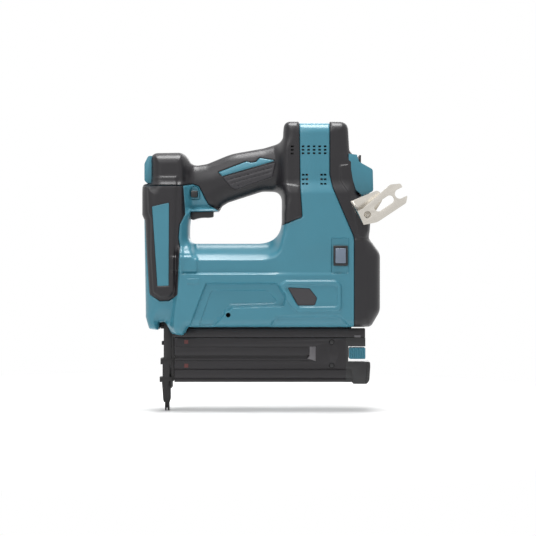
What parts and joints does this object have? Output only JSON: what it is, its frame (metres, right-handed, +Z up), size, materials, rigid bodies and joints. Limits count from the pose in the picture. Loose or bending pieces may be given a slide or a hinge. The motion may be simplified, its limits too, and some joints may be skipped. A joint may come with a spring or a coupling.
{
  "type": "cordless brad nailer",
  "caption": "Cordless brad nailer with a two-half casing, closed-loop rear handle, spring-return nose, side-opening magazine, belt hook and an air-driven piston inside.",
  "frame": {"origin": "lower end of the contact tip, on the path the brad takes", "axes": "+Z up along the driving cylinder, +X from the nose to the battery mount, +Y to the tool's right-hand side across the joint of the casing"},
  "size_m": [0.2667, 0.0985, 0.2964],
  "materials": {
    "teal_plastic": "satin",
    "grip_elastomer": "matte",
    "grip_pad_elastomer": "matte",
    "black_plastic": "satin",
    "black_oxide_steel": "satin",
    "steel": "satin",
    "nickel_steel": "satin",
    "anodised_aluminium": "satin",
    "aluminium": "satin",
    "bumper_rubber": "matte",
    "red_plastic": "gloss",
    "smoke_plastic": "gloss",
    "brass": "satin",
    "board": "satin",
    "copper_winding": "satin"
  },
  "bodies": {
    "tool": {"housing_left": "teal_plastic", "housing_right": "teal_plastic", "grip_left": "grip_elastomer", "grip_right": "grip_elastomer", "grip_pads": "grip_pad_elastomer", "grip_accents": "teal_plastic", "cylinder_cover_left": "grip_elastomer", "cylinder_cover_right": "grip_elastomer", "nameplates": "teal_plastic", "front_strip": "teal_plastic", "rear_cover_left": "grip_elastomer", "rear_cover_right": "grip_elastomer", "side_pads": "grip_pad_elastomer", "battery_mount": "teal_plastic", "terminal_block": "black_plastic", "battery_contacts": "brass", "power_switch_frame": "black_plastic", "housing_screws": "black_oxide_steel", "driver_guide": "black_oxide_steel", "nose_plate": "black_oxide_steel", "nose_screws": "black_oxide_steel", "magazine_rail": "anodised_aluminium", "trigger_switch": "black_plastic", "trigger_spring": "steel", "contact_spring": "steel", "hook": "nickel_steel", "hook_screw": "nickel_steel", "cylinder_liner": "aluminium", "cylinder_head": "aluminium", "bumper": "bumper_rubber", "compression_cylinder": "aluminium", "valve_block": "aluminium", "gear_case": "aluminium", "ring_gear": "steel", "motor_stator": "copper_winding", "bearings": "steel", "controller_board": "board"},
    "power_button": {"power_button": "smoke_plastic"},
    "contact_arm": {"contact_arm": "black_oxide_steel", "contact_tip": "black_oxide_steel"},
    "depth_wheel": {"depth_wheel": "black_plastic"},
    "magazine_cover": {"magazine_cover": "anodised_aluminium", "magazine_block": "black_plastic", "length_windows": "red_plastic", "magazine_rivets": "black_oxide_steel", "pusher_spring": "steel"},
    "latch_lever": {"latch_lever": "teal_plastic"},
    "pusher": {"pusher": "steel"},
    "trigger": {"trigger": "black_plastic"},
    "lock_button": {"lock_button": "black_plastic"},
    "drive_piston": {"drive_piston": "aluminium", "driver_blade": "steel"},
    "compression_piston": {"compression_piston": "aluminium"},
    "connecting_rod": {"connecting_rod": "steel"},
    "crank": {"crank": "steel"},
    "planet_gear_1": {"planet_gear_1": "steel"},
    "planet_gear_2": {"planet_gear_2": "steel"},
    "planet_gear_3": {"planet_gear_3": "steel"},
    "rotor": {"rotor": "steel", "fan": "black_plastic"}
  },
  "joints": [
    {"name": "trigger_pull", "type": "slide", "parent": "tool", "child": "trigger", "axis": [0, 0, 1], "range_m": [0, 0.005], "stiffness_N_per_m": 800, "springref_m": -0.002, "deforming": ["trigger_spring"]},
    {"name": "lock_button_slide", "type": "slide", "parent": "tool", "child": "lock_button", "axis": [0, 1, 0], "range_m": [0, 0.004]},
    {"name": "contact_arm_slide", "type": "slide", "parent": "tool", "child": "contact_arm", "axis": [0, 0, 1], "range_m": [0, 0.008], "stiffness_N_per_m": 500, "springref_m": -0.006, "deforming": ["contact_spring"]},
    {"name": "depth_wheel_turn", "type": "hinge", "parent": "tool", "child": "depth_wheel", "pos_m": [0.024, 0.027, 0.11], "axis": [0, 0, 1], "range_deg": [-180, 180]},
    {"name": "magazine_slide", "type": "slide", "parent": "tool", "child": "magazine_cover", "axis": [1, 0, 0], "range_m": [0, 0.15]},
    {"name": "pusher_slide", "type": "slide", "parent": "magazine_cover", "child": "pusher", "axis": [1, 0, 0], "range_m": [0, 0.125], "stiffness_N_per_m": 10, "springref_m": -0.2, "deforming": ["pusher_spring"]},
    {"name": "latch_press", "type": "hinge", "parent": "magazine_cover", "child": "latch_lever", "pos_m": [0.1905, 0, 0.06], "axis": [0, 1, 0], "range_deg": [0, 10], "stiffness_Nm_per_rad": 0.4, "springref_deg": -5.73},
    {"name": "power_button_press", "type": "slide", "parent": "tool", "child": "power_button", "axis": [0, 1, 0], "range_m": [0, 0.0008], "stiffness_N_per_m": 500, "springref_m": -0.0005},
    {"name": "drive_stroke", "type": "slide", "parent": "tool", "child": "drive_piston", "axis": [0, 0, -1], "range_m": [0, 0.068]},
    {"name": "compression_stroke", "type": "slide", "parent": "tool", "child": "compression_piston", "axis": [1, 0, 0], "range_m": [0, 0.024]},
    {"name": "connecting_rod_swing", "type": "hinge", "parent": "compression_piston", "child": "connecting_rod", "pos_m": [0.084, 0, 0.128], "axis": [0, 0, 1], "range_deg": [-12.5, 12.5]},
    {"name": "crank_turn", "type": "hinge", "parent": "tool", "child": "crank", "pos_m": [0.151, 0, 0.142], "axis": [0, 0, 1], "continuous": true},
    {"name": "rotor_turn", "type": "hinge", "parent": "tool", "child": "rotor", "pos_m": [0.151, 0, 0.221], "axis": [0, 0, 1], "continuous": true},
    {"name": "planet_turn_1", "type": "hinge", "parent": "crank", "child": "planet_gear_1", "pos_m": [0.1645, 0, 0.166], "axis": [0, 0, 1], "continuous": true},
    {"name": "planet_turn_2", "type": "hinge", "parent": "crank", "child": "planet_gear_2", "pos_m": [0.14425, 0.01169, 0.166], "axis": [0, 0, 1], "continuous": true},
    {"name": "planet_turn_3", "type": "hinge", "parent": "crank", "child": "planet_gear_3", "pos_m": [0.14425, -0.01169, 0.166], "axis": [0, 0, 1], "continuous": true}
  ],
  "couplings": [
    {"joint": "rotor_turn", "follows": "crank_turn", "ratio": 5},
    {"joint": "planet_turn_1", "follows": "crank_turn", "ratio": -2.6667},
    {"joint": "planet_turn_2", "follows": "crank_turn", "ratio": -2.6667},
    {"joint": "planet_turn_3", "follows": "crank_turn", "ratio": -2.6667}
  ]
}
